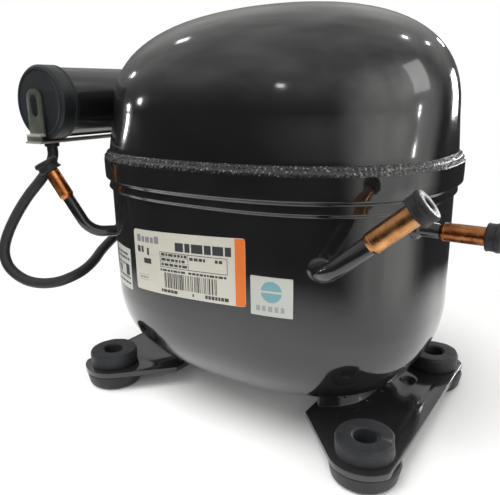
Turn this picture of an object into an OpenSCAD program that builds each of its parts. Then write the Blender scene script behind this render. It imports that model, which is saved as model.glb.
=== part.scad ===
// Hermetic reciprocating compressor: welded oval shell on four rubber feet, with its
// motor, pump, tube stubs, terminal gear and start capacitor. Millimetres, Z up.
// Origin: centre of the mounting-hole rectangle, on the surface it stands on.

/* [Shell] */
// Half length of the flared rim along X
shell_a = 99; // [95:0.5:101]
// Half width of the flared rim along Y
shell_b = 76; // [74:0.5:78]
// How far the shell's centre lies behind the hole rectangle's centre
shell_y = 5; // [3:0.5:6]
// Wall thickness of both shell halves
shell_t = 3; // [2.5:0.1:3.2]
// Height of the welded seam above the floor
seam_z = 137; // [136:0.5:139]
// Height of the dome's crown above the floor
top_z = 212; // [208:1:216]
// Rise of the crown towards the pump end, at the end of the long axis
crown_slope = 4; // [0:0.5:5]

/* [Base] */
// Hole-to-hole distance along X
hole_dx = 165.1; // [165.1:0.1:165.1]
// Hole-to-hole distance along Y
hole_dy = 101.6; // [101.6:0.1:101.6]
// Diameter of the hole through each rubber foot
foot_bore = 11.5; // [11:0.1:12]
// Diameter of the foot's lower body
foot_d = 34; // [30:0.5:35]
// Diameter of the foot's upper disc
foot_top_d = 28; // [26:0.5:29]
// Top face of the base plates
plate_z = 12; // [11.5:0.1:12.5]
// Thickness of the base plates
plate_t = 3; // [2.5:0.1:3]

/* [Tube stubs] */
// Outer diameter of the suction connector
suction_d = 9.4; // [9.2:0.1:10]
// Inner diameter of the suction connector
suction_id = 8.2; // [8.2:0.1:8.2]
// Outer diameter of the discharge and process connectors
line_d = 8; // [7.8:0.1:8.2]
// Inner diameter of the discharge and process connectors
line_id = 6.5; // [6.5:0.1:6.5]

/* [Capacitor] */
// Diameter of the capacitor can
cap_d = 40; // [38:0.5:42]
// Length of the can and its boot
cap_len = 102; // [95:1:105]
// Diameter of the two-core lead
lead_d = 6.2; // [5.6:0.1:6.6]

/* [Pump] */
// Cylinder bore
bore_d = 28; // [28:0.1:28]
// Piston stroke
stroke = 23; // [21:0.5:23]
// Connecting rod, centre to centre
rod_len = 45; // [45:0.5:46]
// Diameter of the crankshaft's main journal
shaft_d = 18; // [17:0.5:18]

/* [Hidden] */

seg = 60;                       // sides of every oval ring
wall_power = 2.6;               // fullness of the wall's plan outline; 2 is a true ellipse
seam_power = 2.45;              // the same at the seam
step = 360 / seg;
neck_in = 4.5;                  // how far the wall lies inside the flared rim
wall_top_z = 121;               // where the flare starts
flare_z = 126;                  // underside of the flared rim
corner_z = 62;                  // where the bowl's bottom corner starts
bottom_z = 18;                  // flat bottom of the bowl
corner_r = 38;                  // width of the bowl's bottom corner
dome_in = shell_t + 0.1;        // the dome fits inside the rim
dome_z = 160;                   // where the dome's corner starts
dome_power = 2.57;              // squareness of the dome's corner
plate_edge = 97.8;              // straight outer edge of each base plate
lobe_r = 17.5;                  // rounding of a plate round its foot
foot_h = 20.5;                  // height of a foot
neck_d = 19;                    // hole in the plate for a foot
rib_in = 33;                    // inset of the plate's upturned inner edge
rib_top = 19.3;                 // where that edge meets the bowl

term = [-88, 41, 91];         // terminal centre on the shell's wall
term_a = 153.7;                 // heading of the terminal
cap_x = -121;
cap_z = 166.6;
cap_y0 = -57;
boot_r = cap_d / 2 + 1.25;
boot_len = 12;
strap_z = cap_z - boot_r - 1.4;
strap_w = 13.2;
strap_t = 1.2;
spout_y = -51;
spout_z = 141.5;
gland_z = -11;

pump_x = -10;                   // crankshaft axis
pump_y = shell_y;
cyl_z = 158;                    // cylinder axis
hub_top = 138.5;
web_z = 140;
web_h = 7;
crank_r = stroke / 2;
pin_r = 7;
pin_h = 4.6;
wrist_x = pump_x + crank_r + rod_len;
crown_x = wrist_x + 11.7;
face_x = crown_x + 0.3;         // end face of the cylinder
stack_z = 54;                   // bottom of the stator
stack_h = 42;
mount_dx = 42;                  // stator bolts and springs
mount_dy = 33;
head_s = 44;                    // side of the square cylinder head
head_bolt = 17;
slots = 24;
running = 0.05;                 // radial clearance of a running fit

suction_path = [[57.8, -51.6, 97.1], [66.8, -67, 97.1], [101.7, -60.8, 126.9]];
discharge_path = [[80, -23, 112], [99, -23, 112], [120, -23, 112]];
process_path = [[-77.5, -28.9, 91.6], [-92, -52.5, 93.4], [-106.6, -64.1, 129.6]];
lead_path = [[-121, -51, 141.5], [-121, -51.3, 136], [-122, -54, 129.5], [-125, -59, 122],
    [-129.5, -65, 113.5], [-133, -71.5, 103.5], [-135.5, -77.5, 92.5], [-135.5, -81.5, 83],
    [-133, -82.5, 75.5], [-128.5, -81.5, 70], [-122, -78.5, 65.5], [-115, -74, 63.5],
    [-108.5, -67.5, 63.5], [-105, -59.5, 65], [-104.5, -50, 67], [-107, -39.5, 70],
    [-111.5, -29, 73.5], [-116.8, -15, 77], [-120.6, -2.5, 79.4], [-122.1, 7.5, 80],
    [-120.9, 14.9, 80], [-117.4, 22.1, 80]];
loop_path = [[69, 12, 180], [69, 12.5, 185], [68, 17, 189], [65, 25, 190], [61, 34, 187],
    [60, 42, 178], [60, 46, 166], [61, 47, 150], [64, 45, 136], [68, 39, 125], [70, 28, 118],
    [69, 14, 114], [66, 0, 112], [65, -12, 112], [68, -20, 112], [73, -23, 112],
    [79, -23, 112]];

// ---- helpers ----
function unit(v) = v / norm(v);

// [semi-axis X, semi-axis Y, height, tilt] of an oval ring set in from the rim
function ring(inset, z) = [shell_a - inset, shell_b - inset, z, 0];
function dome_ring(inset, z_top, th) =
    let (s = pow(cos(th), 2 / dome_power), k = pow(sin(th), 2 / dome_power))
    [max((shell_a - inset) * s, 0.5), max((shell_b - inset) * s, 0.4),
     dome_z + (z_top - dome_z) * k, crown_slope * k];
function bowl_ring(t, psi) = ring(
    neck_in + t + (corner_r - t) * (1 - sin(psi)),
    bottom_z + t + (corner_z - bottom_z - t) * (1 - cos(psi)));
// the plan outline is fuller than an ellipse low down and a true ellipse at the crown
function plan_power(z) = lookup(z, [[121.5, wall_power], [124, seam_power], [141.5, seam_power],
    [dome_z, 2.15], [198, 2]]);
function fuller(a, power) = pow(pow(abs(cos(a)), power) + pow(abs(sin(a)), power), -1 / power);
function ring_points(r) = [for (i = [0 : seg - 1])
    let (q = fuller(i * step, plan_power(r[2])))
    [r[0] * cos(i * step) * q, shell_y + r[1] * sin(i * step) * q,
     r[2] + r[3] * cos(i * step) * r[0] / shell_a]];
function band(inset, a0, a1) = [for (a = [a0 : step : a1])
    let (q = fuller(a, wall_power))
    [(shell_a - inset) * cos(a) * q, shell_y + (shell_b - inset) * sin(a) * q]];

// skin over a list of rings; open ends are capped, a closed list joins up
module loft(rings, closed = false) {
    n = len(rings);
    last = closed ? n - 1 : n - 2;
    caps = closed ? [] : [[for (i = [0 : seg - 1]) i], [for (i = [seg - 1 : -1 : 0]) (n - 1) * seg + i]];
    sides = [for (j = [0 : last]) for (i = [0 : seg - 1])
        let (a = j * seg + i, b = j * seg + (i + 1) % seg,
             c = ((j + 1) % n) * seg + i, d = ((j + 1) % n) * seg + (i + 1) % seg)
        each [[a, c, d], [a, d, b]]];
    polyhedron([for (r = rings) each ring_points(r)], concat(sides, caps), convexity = 6);
}

// a strip that hugs the shell between two parameter angles
module strip(in0, in1, a0, a1, z0, z1) {
    outer = band(in0, a0, a1);
    inner = band(in1, a0, a1);
    translate([0, 0, z0])
        linear_extrude(z1 - z0)
            polygon(concat(outer, [for (i = [len(inner) - 1 : -1 : 0]) inner[i]]));
}

// the same strip, its far end higher than its near end
module leaning_strip(in0, in1, a0, a1, z0, z1, rise) {
    outer = band(in0, a0, a1);
    inner = band(in1, a0, a1);
    n = len(outer) - 1;
    points = [for (k = [0 : n]) let (up = rise * (k / n - 0.5)) each [
        [outer[k][0], outer[k][1], z0 + up], [outer[k][0], outer[k][1], z1 + up],
        [inner[k][0], inner[k][1], z1 + up], [inner[k][0], inner[k][1], z0 + up]]];
    sides = [for (k = [0 : n - 1]) for (j = [0 : 3])
        let (a = 4 * k + j, b = 4 * k + (j + 1) % 4)
        each [[a, b, b + 4], [a, b + 4, a + 4]]];
    polyhedron(points, concat(sides, [[3, 2, 1, 0], [4 * n, 4 * n + 1, 4 * n + 2, 4 * n + 3]]));
}

// child's +Z along z and +X along x, at p
module aim(p, z, x) {
    w = unit(z);
    u = unit(x - (x * w) * w);
    v = cross(w, u);
    multmatrix([[u[0], v[0], w[0], p[0]], [u[1], v[1], w[1], p[1]], [u[2], v[2], w[2], p[2]], [0, 0, 0, 1]])
        children();
}
module along(p, z) {
    aim(p, z, abs(unit(z)[2]) > 0.9 ? [1, 0, 0] : [0, 0, 1]) children();
}
module pipe(p0, p1, ro, ri) {
    along(p0, p1 - p0)
        difference() {
            cylinder(h = norm(p1 - p0), r = ro, $fn = 48);
            translate([0, 0, -1]) cylinder(h = norm(p1 - p0) + 2, r = ri, $fn = 48);
        }
}

// a three-point route as points, with a round bend; both ends moved by past
function bend_line(path, bend, stop, past, n = 10) =
    let (d0 = unit(path[1] - path[0]), d1 = unit(path[2] - path[1]),
         turn = acos(min(1, d0 * d1)), cut = bend * tan(turn / 2),
         side = unit(d1 - (d1 * d0) * d0), t0 = path[1] - cut * d0)
    concat([path[0] - past * d0],
        [for (k = [0 : n]) t0 + bend * (1 - cos(turn * k / n)) * side + bend * sin(turn * k / n) * d0],
        [path[2] - (stop - past) * d1]);

// hollow tube along such a route, ending short of the last point
module bent_pipe(path, bend, ro, ri, stop) {
    if (norm(cross(path[1] - path[0], path[2] - path[1])) < 0.01) {
        pipe(path[0], path[2] - stop * unit(path[2] - path[1]), ro, ri);
    } else {
        difference() {
            swept(bend_line(path, bend, stop, 0), ro, [0.1, 0, 1], 24);
            swept(bend_line(path, bend, stop, 1), ri, [0.1, 0, 1], 24);
        }
    }
}

// connector sleeve over the last stretch of a stub
module connector(path, len, d, id) {
    dir = unit(path[2] - path[1]);
    pipe(path[2] - len * dir, path[2], d / 2, id / 2);
}

// pull-out shipping plug: flange outside, stem in the bore
module plug(path, d, id) {
    dir = unit(path[2] - path[1]);
    along(path[2], dir)
        difference() {
            union() {
                cylinder(h = 6.5, r = d / 2, $fn = 48);
                translate([0, 0, -8]) cylinder(h = 8.5, r = id / 2 - running, $fn = 48);
            }
            translate([0, 0, 2.5]) cylinder(h = 5, r = d / 6, $fn = 32);
        }
}

// round tube swept along a list of points
function heading(p, i) = unit(p[min(i + 1, len(p) - 1)] - p[max(i - 1, 0)]);
function carry(p, i, start) = let (t = heading(p, i), s = i == 0 ? start : carry(p, i - 1, start))
    unit(s - (s * t) * t);
module swept(p, r, start, sides = 8) {
    n = len(p);
    pts = [for (i = [0 : n - 1]) let (t = heading(p, i), u = carry(p, i, start), v = cross(t, u))
        for (k = [0 : sides - 1]) p[i] + r * (cos(k * 360 / sides) * u + sin(k * 360 / sides) * v)];
    quads = [for (i = [0 : n - 2]) for (k = [0 : sides - 1])
        let (a = i * sides + k, b = i * sides + (k + 1) % sides)
        each [[a, a + sides, b + sides], [a, b + sides, b]]];
    polyhedron(pts, concat(quads, [[for (k = [0 : sides - 1]) k],
        [for (k = [sides - 1 : -1 : 0]) (n - 1) * sides + k]]), convexity = 6);
}

module at_terminal() {
    translate(term) rotate([0, 0, term_a]) children();
}
module box(lo, hi) {
    translate(lo) cube(hi - lo);
}
module at_pump() {
    translate([pump_x, pump_y, 0]) children();
}
module at_mounts(z) {
    for (i = [-1, 1], j = [-1, 1])
        translate([pump_x + i * mount_dx, pump_y + j * mount_dy, z]) children();
}
module x_rod(x0, x1, r, y = 0, z = 0, fn = 48) {
    translate([x0, pump_y + y, cyl_z + z]) rotate([0, 90, 0]) cylinder(h = x1 - x0, r = r, $fn = fn);
}

// ---- shell ----
module lower_shell() color([0.03, 0.03, 0.035]) {
    difference() {
        loft(concat(
            [for (psi = [0 : 15 : 90]) bowl_ring(0, psi)],
            [ring(neck_in, 92), ring(neck_in, wall_top_z), ring(2.2, 123.5), ring(0, flare_z), ring(0, seam_z)],
            [ring(shell_t, seam_z), ring(shell_t, 126.9), ring(neck_in + shell_t, 123),
             ring(neck_in + shell_t, 92)],
            [for (psi = [90 : -15 : 0]) bowl_ring(shell_t, psi)]));
        stub_hole(suction_path, 4.05);
        stub_hole(discharge_path, 3.55);
        stub_hole(process_path, 3.8);
        at_terminal() rotate([0, 90, 0]) translate([0, 0, -12]) cylinder(h = 24, r = 15.05, $fn = 48);
    }
}
module stub_hole(path, r) {
    dir = unit(path[1] - path[0]);
    along(path[0], dir) cylinder(h = 16, r = r, $fn = 48);
}
module upper_shell() color([0.03, 0.03, 0.035]) {
    steps = [85, 76, 66, 56, 46, 36, 26, 14];
    loft(concat(
        [for (th = steps) dome_ring(dome_in + shell_t, top_z - shell_t, th)],
        [ring(dome_in + shell_t, dome_z), ring(dome_in + shell_t, 141.5), ring(dome_in + shell_t, 127),
         ring(dome_in, 127), ring(dome_in, 141.5), ring(dome_in, dome_z)],
        [for (i = [len(steps) - 1 : -1 : 0]) dome_ring(dome_in, top_z, steps[i])]));
}
module weld_bead() color([0.1, 0.1, 0.1]) {
    loft([ring(0.5, seam_z), ring(0.1, seam_z + 1.4), ring(1.2, seam_z + 3.2),
          ring(dome_in, seam_z + 4.4), ring(dome_in, seam_z)], closed = true);
}

// ---- base ----
module base_plate() color([0.05, 0.05, 0.05]) {
    hx = hole_dx / 2;
    hy = hole_dy / 2;
    reach = lobe_r * sin(45);
    inner = 44;
    run = hx - reach - inner;
    difference() {
        union() {
            translate([0, 0, plate_z - plate_t])
                linear_extrude(plate_t)
                    intersection() {
                        union() {
                            for (j = [-1, 1]) translate([hx, j * hy]) circle(r = lobe_r, $fn = 64);
                            polygon([[plate_edge, -hy - 4], [plate_edge, hy + 4],
                                [hx + reach, hy + reach], [hx - reach, hy + reach], [inner, hy + reach - run],
                                [inner, -hy - reach + run], [hx - reach, -hy - reach], [hx + reach, -hy - reach]]);
                        }
                        translate([0, -100]) square([plate_edge, 200]);
                    }
            strip(rib_in, rib_in + plate_t, -48, 48, plate_z - 1, rib_top);
        }
        for (j = [-1, 1])
            translate([hx, j * hy, 0]) cylinder(h = 30, r = neck_d / 2, $fn = 64);
        translate([77, 23, 0]) cylinder(h = 30, r = 4.5, $fn = 48);
    }
}
module base_plate_right() { base_plate(); }
module base_plate_left() { mirror([1, 0, 0]) base_plate(); }
module foot(i, j) color([0.11, 0.12, 0.14]) {
    rb = foot_bore / 2;
    rt = foot_top_d / 2;
    rl = foot_d / 2;
    translate([i * hole_dx / 2, j * hole_dy / 2, 0])
        rotate_extrude($fn = 96)
            polygon([[rb, 0], [rl - 1.5, 0], [rl, 1.5], [rl, plate_z - plate_t - 0.8],
                [rl - 0.8, plate_z - plate_t], [neck_d / 2, plate_z - plate_t], [neck_d / 2, plate_z],
                [rt, plate_z], [rt, foot_h - 1], [rt - 1, foot_h], [rb, foot_h]]);
}
module foot_front_left() { foot(-1, -1); }
module foot_front_right() { foot(1, -1); }
module foot_back_left() { foot(-1, 1); }
module foot_back_right() { foot(1, 1); }

// ---- tube stubs ----
module suction_tube() color([0.04, 0.04, 0.045]) bent_pipe(suction_path, 12, 4, 3.1, 9);
module discharge_tube() color([0.04, 0.04, 0.045]) bent_pipe(discharge_path, 12, 3.2, 2.4, 9);
module process_tube() color([0.04, 0.04, 0.045]) bent_pipe(process_path, 14, 3.2, 2.4, 9);
module suction_connector() color([0.72, 0.36, 0.16]) connector(suction_path, 20, suction_d, suction_id);
module discharge_connector() color([0.72, 0.36, 0.16]) connector(discharge_path, 17.5, line_d, line_id);
module process_connector() color([0.72, 0.36, 0.16]) connector(process_path, 16, line_d, line_id);
module suction_plug() color([0.06, 0.06, 0.06]) plug(suction_path, 14, suction_id);
module discharge_plug() color([0.06, 0.06, 0.06]) plug(discharge_path, 12.4, line_id);
module process_plug() color([0.06, 0.06, 0.06]) plug(process_path, 13.5, line_id);

// ---- labels ----
module rating_label() color([0.9, 0.9, 0.86]) leaning_strip(neck_in - 0.3, neck_in, -114, -72, 73.3, 105.9, 4.8);
module square_sticker() color([0.88, 0.91, 0.92]) strip(neck_in - 0.3, neck_in, -72, -60, 73, 92);
module side_label() color([0.85, 0.85, 0.82]) strip(neck_in - 0.3, neck_in, -132, -120, 67.5, 90.8);

// ---- terminal, relay and cover, in the terminal's own frame: +X out of the shell ----
module x_cyl(x0, x1, r, y = 0, z = 0, fn = 48) {
    translate([x0, y, z]) rotate([0, 90, 0]) cylinder(h = x1 - x0, r = r, $fn = fn);
}
pin_spots = [[0, 6.5], [5.6, -3.3], [-5.6, -3.3]];
module terminal_cup() color([0.5, 0.5, 0.48]) at_terminal() {
    difference() {
        union() {
            x_cyl(-9, 3, 15);
            x_cyl(-9, -7.6, 17);
        }
        x_cyl(-7, 4, 13.4);
        for (s = pin_spots) x_cyl(-10, 0, 3.2, s[0], s[1]);
    }
}
module terminal_glass() color([0.25, 0.45, 0.35]) at_terminal() {
    for (s = pin_spots)
        difference() {
            x_cyl(-9, -7, 3.2, s[0], s[1]);
            x_cyl(-10, -6, 1.3, s[0], s[1]);
        }
}
module terminal_pins() color([0.7, 0.6, 0.4]) at_terminal() {
    for (s = pin_spots) x_cyl(-18, 12.4, 1.3, s[0], s[1]);
}
module terminal_fence() color([0.05, 0.05, 0.05]) {
    difference() {
        at_terminal()
            difference() {
                union() {
                    box([-9, -20.5, -24.5], [12, 20.5, 24.5]);
                    box([1.3, -7, 24], [2.8, 7, 33.5]);
                    box([1.3, -7, -38], [2.8, 7, -24]);
                }
                box([-10, -19, -23], [13, 19, 23]);
                rotate([90, 0, 0]) translate([0, -18, -30]) cylinder(h = 60, r = 1 + running, $fn = 32);
                x_cyl(0, 4, 1.6, 0, 29.5, 32);
                x_cyl(0, 4, 2.1, 0, -32.5, 32);
            }
        linear_extrude(200) polygon(band(neck_in, 0, 354));
    }
}
module terminal_cover() color([0.08, 0.08, 0.085]) at_terminal() {
    difference() {
        union() {
            box([3, -23, -27], [33, 23, 27]);
            box([32, -16, -20], [35.8, 16, -16]);
            translate([18, 22, gland_z]) rotate([-90, 0, 0]) cylinder(h = 8, r = 5.2, $fn = 48);
        }
        box([2, -21.2, -25.2], [31.2, 21.2, 25.2]);
        translate([18, 20, gland_z]) rotate([-90, 0, 0]) cylinder(h = 11, r = lead_d / 2, $fn = 48);
    }
}
module cover_bail() color([0.6, 0.6, 0.6]) at_terminal() translate([0, 0, -18]) {
    for (j = [-1, 1]) {
        translate([-1, j * 24.8, 0]) rotate([0, 90, 0]) cylinder(h = 39, r = 1, $fn = 32);
        translate([0, j * 22 - 3.8, 0]) rotate([-90, 0, 0]) cylinder(h = 7.6, r = 1, $fn = 32);
    }
    translate([37, -25.8, 0]) rotate([-90, 0, 0]) cylinder(h = 51.6, r = 1, $fn = 32);
}
module ground_screw() color([0.35, 0.5, 0.3]) at_terminal() {
    x_cyl(1.4, 2.9, 2, 0, -32.5, 32);
    x_cyl(2.8, 3.4, 4.6, 0, -32.5, 32);
    x_cyl(3.4, 6.2, 4, 0, -32.5, 6);
}
module relay_case() color([0.15, 0.12, 0.1]) at_terminal() {
    difference() {
        box([8, -19, -22], [30, 1, 22]);
        box([9.5, -17.5, -20.5], [28.5, -0.5, 20.5]);
        for (s = pin_spots) x_cyl(7, 15, 1.6, s[0], s[1], 24);
    }
}
module relay_coil() color([0.6, 0.3, 0.15]) at_terminal() {
    translate([19, -9, -12])
        difference() {
            union() {
                cylinder(h = 22, r = 6.5, $fn = 48);
                for (z = [0, 20.5]) translate([0, 0, z]) cylinder(h = 1.5, r = 8, $fn = 48);
            }
            translate([0, 0, -1]) cylinder(h = 24, r = 3.5, $fn = 48);
        }
}
module relay_plunger() color([0.5, 0.5, 0.52]) at_terminal() {
    translate([19, -9, -19]) cylinder(h = 24, r = 2.8, $fn = 48);
}
module overload_protector() color([0.1, 0.1, 0.1]) at_terminal() {
    x_cyl(9, 11, 7.2, 9.9, 12);
    x_cyl(11, 22, 8.4, 9.9, 12);
    x_cyl(22, 24, 5, 9.9, 12);
}

// ---- capacitor ----
module y_cyl(y0, y1, r, x = cap_x, z = cap_z, fn = 96) {
    translate([x, y0, z]) rotate([-90, 0, 0]) cylinder(h = y1 - y0, r = r, $fn = fn);
}
module capacitor_can() color([0.04, 0.04, 0.045]) {
    y_cyl(cap_y0 + 6, cap_y0 + cap_len, cap_d / 2);
    for (i = [-1, 1]) translate([cap_x + i * 8 - 0.5, cap_y0 + 3, cap_z + 2]) cube([1, 4, 6]);
}
module capacitor_boot() color([0.05, 0.055, 0.06]) {
    difference() {
        union() {
            y_cyl(cap_y0, cap_y0 + boot_len, boot_r);
            translate([cap_x, spout_y, spout_z]) cylinder(h = 5, r = 4.3, $fn = 48);
        }
        y_cyl(cap_y0 + 2, cap_y0 + boot_len + 1, cap_d / 2 + 0.05);
        
    }
}
module capacitor_bracket() color([0.6, 0.62, 0.5]) {
    x0 = cap_x - 1 - strap_w / 2;
    x1 = x0 + strap_w;
    tab_y = cap_y0 - 1.4 - strap_t;
    rear_y = cap_y0 + cap_len + 0.2;
    knee_z = 149;
    difference() {
        union() {
            box([x0, tab_y - 2.4, strap_z], [x1, rear_y + strap_t, strap_z + strap_t]);
            box([x0, tab_y - 2.4, strap_z], [x1, tab_y - 2.4 + strap_t, knee_z]);
            box([x0, tab_y - 2.4, knee_z - strap_t], [x1, tab_y + strap_t, knee_z]);
            box([x0, tab_y, knee_z - strap_t], [x1, tab_y + strap_t, 168]);
            y_cyl(tab_y, tab_y + strap_t, strap_w / 2, x = (x0 + x1) / 2, z = 168, fn = 64);
            box([x0 - 1.2, tab_y - 2.8, strap_z], [x1, tab_y - 2.3, strap_z + 1]);
            box([x0, rear_y, strap_z], [x1, rear_y + strap_t, 156]);
            box([x0 + 4, rear_y - 10, strap_z], [-109, 56, strap_z + strap_t]);
            at_terminal() {
                box([26, -8, 27.2], [27.2, 8, strap_z + strap_t - term[2]]);
                box([2.9, -8, 27.2], [27.2, 8, 28.4]);
                box([2.9, -7, 27.2], [4.1, 7, 34]);
            }
        }
        for (z = [162, 168]) y_cyl(tab_y - 1, tab_y + 3, 3.15, x = (x0 + x1) / 2, z = z, fn = 48);
        box([(x0 + x1) / 2 - 3.15, tab_y - 1, 162], [(x0 + x1) / 2 + 3.15, tab_y + 3, 168]);
        translate([cap_x, spout_y, strap_z - 1]) cylinder(h = 4, r = 4.6, $fn = 48);
        at_terminal() x_cyl(2, 5, 1.9, 0, 31, 32);
    }
}
module bracket_screw() color([0.7, 0.7, 0.7]) at_terminal() {
    x_cyl(2.0, 4.2, 1.5, 0, 31, 32);
    x_cyl(4.1, 6.3, 3.2, 0, 31, 48);
}
module capacitor_lead() color([0.05, 0.05, 0.055]) swept(lead_path, lead_d / 2, [1, 0, 0]);

// ---- pump and motor ----
module crankcase() color([0.35, 0.36, 0.37]) {
    difference() {
        union() {
            at_pump() translate([0, 0, 104]) cylinder(h = hub_top - 104, r = 15, $fn = 64);
            at_pump() translate([-52, -45, 112]) cube([104, 90, 7]);
            at_mounts(stack_z + stack_h) cylinder(h = 16.5, r = 7, $fn = 48);
            box([26, pump_y - 17, 118], [face_x - 6, pump_y + 17, cyl_z]);
            x_rod(24, face_x, 20);
            box([face_x - 8, pump_y - head_s / 2, cyl_z - head_s / 2],
                [face_x, pump_y + head_s / 2, cyl_z + head_s / 2]);
        }
        at_pump() translate([0, 0, 100]) cylinder(h = 60, r = shaft_d / 2 + running, $fn = 64);
        x_rod(10, face_x + 1, bore_d / 2 + 0.03, fn = 96);
        at_mounts(90) cylinder(h = 40, r = 2.6, $fn = 32);
        at_head_bolts() x_rod(face_x - 9, face_x + 1, 2.6, fn = 32);
    }
}
module at_head_bolts() {
    for (i = [-1, 1], j = [-1, 1]) translate([0, i * head_bolt, j * head_bolt]) children();
}
module crankshaft() color([0.6, 0.6, 0.62]) at_pump() {
    difference() {
        union() {
            translate([0, 0, 44]) cylinder(h = web_z - 44, r = shaft_d / 2, $fn = 64);
            translate([0, 0, web_z]) cylinder(h = web_h, r = crank_r + pin_r + 0.1, $fn = 96);
            translate([crank_r, 0, web_z + web_h]) cylinder(h = pin_h, r = pin_r, $fn = 64);
        }
        translate([0, 0, 43]) cylinder(h = 9, r = 5, $fn = 48);
        translate([0, 0, 51]) cylinder(h = 84, r = 2, $fn = 32);
    }
}
module thrust_washer() color([0.75, 0.7, 0.5]) at_pump() translate([0, 0, hub_top + 0.05]) {
    difference() {
        cylinder(h = web_z - hub_top - 0.1, r = 14.5, $fn = 64);
        translate([0, 0, -1]) cylinder(h = 4, r = shaft_d / 2 + running, $fn = 64);
    }
}
module oil_pickup() color([0.5, 0.5, 0.5]) at_pump() translate([0, 0, 27]) {
    difference() {
        cylinder(h = 25, r = 5, $fn = 48);
        translate([0, 0, -1]) cylinder(h = 27, r = 3.6, $fn = 48);
    }
}
module rotor() color([0.45, 0.45, 0.47]) at_pump() {
    difference() {
        union() {
            translate([0, 0, stack_z - 1]) cylinder(h = stack_h + 2, r = 30, $fn = 96);
            translate([0, 0, stack_z - 6]) cylinder(h = stack_h + 12, r = 28, $fn = 96);
        }
        translate([0, 0, stack_z - 7]) cylinder(h = 6, r = 18, $fn = 64);
        translate([0, 0, stack_z + stack_h + 1]) cylinder(h = 6, r = 18, $fn = 64);
        translate([0, 0, 30]) cylinder(h = 90, r = shaft_d / 2, $fn = 64);
    }
}
module slot_bars(w, r0, r1, z0, z1) {
    for (k = [0 : slots - 1])
        rotate([0, 0, (k + 0.5) * 360 / slots]) box([r0, -w / 2, z0], [r1, w / 2, z1]);
}
module stator_core() color([0.4, 0.4, 0.42]) at_pump() {
    difference() {
        translate([0, 0, stack_z])
            linear_extrude(stack_h)
                union() {
                    square([108 - 32, 94], center = true);
                    square([108, 94 - 32], center = true);
                    for (i = [-1, 1], j = [-1, 1]) translate([i * 38, j * 31]) circle(r = 16, $fn = 64);
                }
        translate([0, 0, 40]) cylinder(h = 70, r = 30.5, $fn = 96);
        slot_bars(4.2, 33.4, 46, stack_z - 1, stack_z + stack_h + 1);
        for (i = [-1, 1], j = [-1, 1])
            translate([i * mount_dx, j * mount_dy, 40]) cylinder(h = 70, r = 2.6, $fn = 32);
    }
}
module stator_windings() color([0.6, 0.27, 0.12]) at_pump() {
    slot_bars(3.8, 33.6, 45.8, stack_z - 1, stack_z + stack_h + 1);
    for (z = [stack_z - 12.5, stack_z + stack_h + 0.5])
        translate([0, 0, z])
            rotate_extrude($fn = 96)
                polygon([[34.5, 0], [43.5, 0], [46, 2.5], [46, 9.5], [43.5, 12], [34.5, 12],
                    [32, 9.5], [32, 2.5]]);
}
module stator_bolts() color([0.55, 0.55, 0.55]) {
    at_mounts(50) cylinder(h = 69, r = 2.5, $fn = 32);
    at_mounts(119) cylinder(h = 4, r = 4.6, $fn = 6);
}
module connecting_rod() color([0.7, 0.7, 0.72]) {
    difference() {
        union() {
            translate([pump_x + crank_r, pump_y, 152]) cylinder(h = 12, r = 11, $fn = 64);
            translate([wrist_x, pump_y, cyl_z - 4.5]) cylinder(h = 9, r = 7.5, $fn = 64);
            box([pump_x + crank_r + 8, pump_y - 3.5, cyl_z - 3], [wrist_x - 5, pump_y + 3.5, cyl_z + 3]);
        }
        translate([pump_x + crank_r, pump_y, 150]) cylinder(h = 20, r = pin_r + running, $fn = 64);
        translate([wrist_x, pump_y, 150]) cylinder(h = 20, r = 4 + running, $fn = 48);
    }
}
module piston() color([0.5, 0.5, 0.52]) {
    difference() {
        x_rod(crown_x - 26, crown_x, bore_d / 2, fn = 96);
        x_rod(crown_x - 27, crown_x - 3.5, 9.5, fn = 64);
        translate([wrist_x, pump_y, cyl_z - 15]) cylinder(h = 30, r = 4, $fn = 48);
    }
}
module wrist_pin() color([0.75, 0.75, 0.76]) {
    translate([wrist_x, pump_y, cyl_z - 12.5]) cylinder(h = 25, r = 4, $fn = 48);
}
module head_slab(x0, x1) {
    difference() {
        box([x0, pump_y - head_s / 2, cyl_z - head_s / 2], [x1, pump_y + head_s / 2, cyl_z + head_s / 2]);
        at_head_bolts() x_rod(x0 - 1, x1 + 1, 2.6, fn = 32);
        children();
    }
}
module gaskets() color([0.3, 0.5, 0.3]) {
    head_slab(face_x, face_x + 0.5) x_rod(face_x - 1, face_x + 2, bore_d / 2 + 0.5, fn = 96);
    head_slab(face_x + 3.5, face_x + 4) x_rod(face_x + 3, face_x + 5, bore_d / 2 + 0.5, fn = 96);
}
module valve_plate() color([0.6, 0.6, 0.62]) {
    head_slab(face_x + 0.5, face_x + 3.5) {
        x_rod(face_x, face_x + 4, 2.5, -6, 0, 32);
        x_rod(face_x, face_x + 4, 3, 6, 0, 32);
    }
}
module cylinder_head() color([0.65, 0.65, 0.66]) {
    x0 = face_x + 4;
    head_slab(x0, x0 + 13) {
        box([x0 - 1, pump_y - 12, cyl_z - 12], [x0 + 10, pump_y - 1, cyl_z + 12]);
        box([x0 - 1, pump_y + 1, cyl_z - 12], [x0 + 10, pump_y + 12, cyl_z + 12]);
        translate([69, pump_y - 6, cyl_z]) rotate([90, 0, 0]) cylinder(h = 20, r = 4, $fn = 48);
        translate([69, 12, cyl_z]) cylinder(h = 30, r = 2.5, $fn = 32);
    }
}
module head_bolts() color([0.5, 0.5, 0.5]) {
    at_head_bolts() {
        x_rod(face_x - 7, face_x + 17, 2.5, fn = 32);
        x_rod(face_x + 17, face_x + 20, 4.5, fn = 6);
    }
}
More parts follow.
